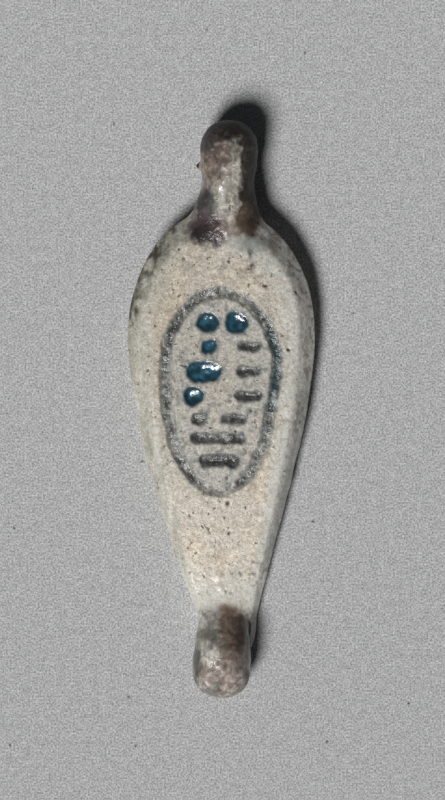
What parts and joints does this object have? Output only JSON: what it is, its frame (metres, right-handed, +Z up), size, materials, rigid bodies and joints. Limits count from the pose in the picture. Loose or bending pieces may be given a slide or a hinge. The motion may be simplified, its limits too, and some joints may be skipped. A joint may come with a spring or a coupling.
{
  "type": "petal bead",
  "caption": "Pear-shaped glazed petal bead lying on its flat back, with a bored loop at each end and an oval ring of sunk strokes on its face.",
  "frame": {"origin": "on the resting plane under the middle of the bead's box, which is its flat back", "axes": "+Y along the bead to the upper loop, at the petal's broad end; +Z up out of the decorated face; +X to the right of the face"},
  "size_m": [0.0142, 0.044, 0.0048],
  "materials": {
    "glazed_faience": "worn sandy glaze"
  },
  "bodies": {
    "root": {"petal_bead": "glazed_faience"}
  },
  "joints": []
}
